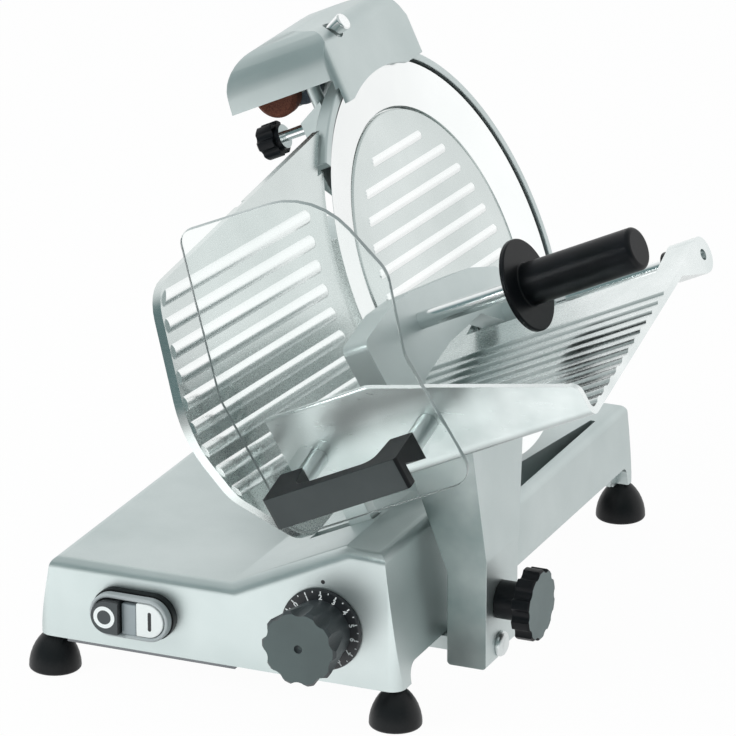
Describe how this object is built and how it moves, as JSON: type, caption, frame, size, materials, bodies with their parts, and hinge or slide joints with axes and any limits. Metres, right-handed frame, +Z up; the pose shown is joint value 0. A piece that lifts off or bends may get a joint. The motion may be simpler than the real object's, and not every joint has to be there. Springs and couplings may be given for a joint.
{
  "type": "electric food slicer",
  "caption": "Countertop food slicer: leaning round blade with ring guard, ribbed gauge plate set by a dial, sliding food tray with pusher and hand guard, and a lift-off sharpener.",
  "frame": {"origin": "middle of the outline's bottom, on the table under the feet", "axes": "+Z up; -Y the front with the switch and dial; +X the side of the food tray; the blade leans 25 degrees from upright so that its face looks up and to +X"},
  "size_m": [0.4298, 0.5749, 0.4147],
  "materials": {
    "casting": "cast, satin blasted and anodised",
    "rolled_sheet": "rolled and polished",
    "bottom_sheet": "dark paint",
    "steel": "ground and polished",
    "blade_steel": "ground and polished",
    "black_plastic": "moulded",
    "dark_grey_plastic": "moulded",
    "dial_black": "moulded, with pale numbers",
    "black_button": "moulded, with a pale ring",
    "white_button": "moulded, with a dark bar",
    "grey_bezel": "moulded",
    "lamp_lens": "moulded",
    "black_rubber": "moulded",
    "motor_paint": "dark paint",
    "pulley_metal": "turned",
    "cam_nylon": "moulded",
    "bush_bronze": "turned",
    "clear_acrylic": "clear, with polished edges",
    "red_stone": "bonded grit",
    "blue_stone": "bonded grit"
  },
  "bodies": {
    "machine": {"base_casting": "casting", "bottom_plate": "bottom_sheet", "feet": "black_rubber", "foot_screws": "steel", "switch_gasket": "black_rubber", "switch_bezel": "grey_bezel", "pilot_lens": "lamp_lens", "contact_block": "black_plastic", "guide_rod": "steel", "guide_bar": "steel", "drive_housing": "casting", "rear_cover": "casting", "cover_screws": "steel", "ring_guard": "casting", "bearings": "steel", "motor": "motor_paint", "drive_belt": "black_rubber", "blade_cover": "rolled_sheet", "cover_tie_rod": "steel", "slice_deflector": "rolled_sheet", "gauge_rod": "steel", "sharpener_bracket": "casting", "cable_gland": "black_plastic"},
    "cover_knob": {"cover_knob": "black_plastic"},
    "blade_unit": {"blade": "blade_steel", "blade_shaft": "steel", "blade_pulley": "pulley_metal"},
    "motor_rotor": {"motor_shaft": "steel", "motor_pulley": "pulley_metal"},
    "dial": {"dial_knob": "dark_grey_plastic", "dial_disc": "dial_black", "dial_shaft": "steel", "gauge_cam": "cam_nylon"},
    "gauge": {"gauge_plate": "rolled_sheet", "gauge_arm": "casting", "follower_pin": "steel"},
    "start_button": {"start_button": "white_button"},
    "stop_button": {"stop_button": "black_button"},
    "carriage": {"slide_block": "casting", "slide_bushes": "bush_bronze", "guide_shoe": "cam_nylon", "carriage_arm": "casting", "arm_bolt": "steel", "tray": "casting", "tray_handle": "black_plastic", "handle_posts": "steel", "hand_guard": "clear_acrylic", "pusher_rod": "steel", "rod_bumper": "black_rubber"},
    "tray_knob": {"tray_knob": "black_plastic"},
    "pusher_sleeve": {"pusher_sleeve": "steel"},
    "pusher": {"press_plate": "casting", "handle_rod": "steel", "pusher_grip": "black_plastic"},
    "sharpener": {"sharpener_hood": "casting", "sharpener_frame": "casting"},
    "grinding_stone": {"grinding_stone": "red_stone"},
    "honing_stone": {"honing_stone": "blue_stone"},
    "stone_button": {"stone_button": "steel"},
    "sharpener_knob": {"sharpener_knob": "black_plastic"}
  },
  "joints": [
    {"name": "blade_spin", "type": "hinge", "parent": "machine", "child": "blade_unit", "pos_m": [-0.0228, 0.1284, 0.2321], "axis": [0.9063, 0, 0.4226], "continuous": true},
    {"name": "motor_spin", "type": "hinge", "parent": "machine", "child": "motor_rotor", "pos_m": [0.0034, 0.1284, 0.17591], "axis": [0.9063, 0, 0.4226], "continuous": true},
    {"name": "cover_knob_turn", "type": "hinge", "parent": "machine", "child": "cover_knob", "pos_m": [-0.14968, 0.1284, 0.17293], "axis": [0.9063, 0, 0.4226], "range_deg": [-180, 180]},
    {"name": "dial_turn", "type": "hinge", "parent": "machine", "child": "dial", "pos_m": [0.0121, -0.1756, 0.067], "axis": [0, -1, 0], "range_deg": [-49, 294]},
    {"name": "gauge_slide", "type": "slide", "parent": "machine", "child": "gauge", "axis": [-0.9063, 0, -0.4226], "range_m": [-0.002, 0.012]},
    {"name": "start_press", "type": "slide", "parent": "machine", "child": "start_button", "axis": [0, 1, 0], "range_m": [0, 0.004], "stiffness_N_per_m": 400},
    {"name": "stop_press", "type": "slide", "parent": "machine", "child": "stop_button", "axis": [0, 1, 0], "range_m": [0, 0.004], "stiffness_N_per_m": 400},
    {"name": "carriage_slide", "type": "slide", "parent": "machine", "child": "carriage", "axis": [0, 1, 0], "range_m": [-0.012, 0.255]},
    {"name": "tray_knob_turn", "type": "hinge", "parent": "carriage", "child": "tray_knob", "pos_m": [0.1046, -0.0826, 0.069], "axis": [1, 0, 0], "range_deg": [-180, 180]},
    {"name": "pusher_slide", "type": "slide", "parent": "carriage", "child": "pusher_sleeve", "axis": [0.9063, 0, 0.4226], "range_m": [0, 0.08]},
    {"name": "pusher_swing", "type": "hinge", "parent": "pusher_sleeve", "child": "pusher", "pos_m": [0.06904, 0.05052, 0.22917], "axis": [-0.9063, 0, -0.4226], "range_deg": [0, 75]},
    {"name": "sharpener_lift", "type": "slide", "parent": "machine", "child": "sharpener", "axis": [-0.4226, 0, 0.9063], "range_m": [0, 0.028]},
    {"name": "grinding_spin", "type": "hinge", "parent": "sharpener", "child": "grinding_stone", "pos_m": [-0.14123, 0.0944, 0.35121], "axis": [0, 1, 0], "continuous": true},
    {"name": "honing_spin", "type": "hinge", "parent": "sharpener", "child": "honing_stone", "pos_m": [-0.12575, 0.1084, 0.35468], "axis": [0, 1, 0], "continuous": true},
    {"name": "stone_press", "type": "slide", "parent": "sharpener", "child": "stone_button", "axis": [-0.7314, 0, -0.682], "range_m": [0, 0.005], "stiffness_N_per_m": 400},
    {"name": "sharpener_knob_turn", "type": "hinge", "parent": "machine", "child": "sharpener_knob", "pos_m": [-0.14034, 0.0904, 0.31852], "axis": [0.9063, 0, 0.4226], "range_deg": [-180, 180]}
  ],
  "couplings": [
    {"joint": "motor_spin", "follows": "blade_spin", "ratio": 2.8571},
    {"joint": "dial_turn", "follows": "gauge_slide", "rad_per_m": 427.61}
  ]
}
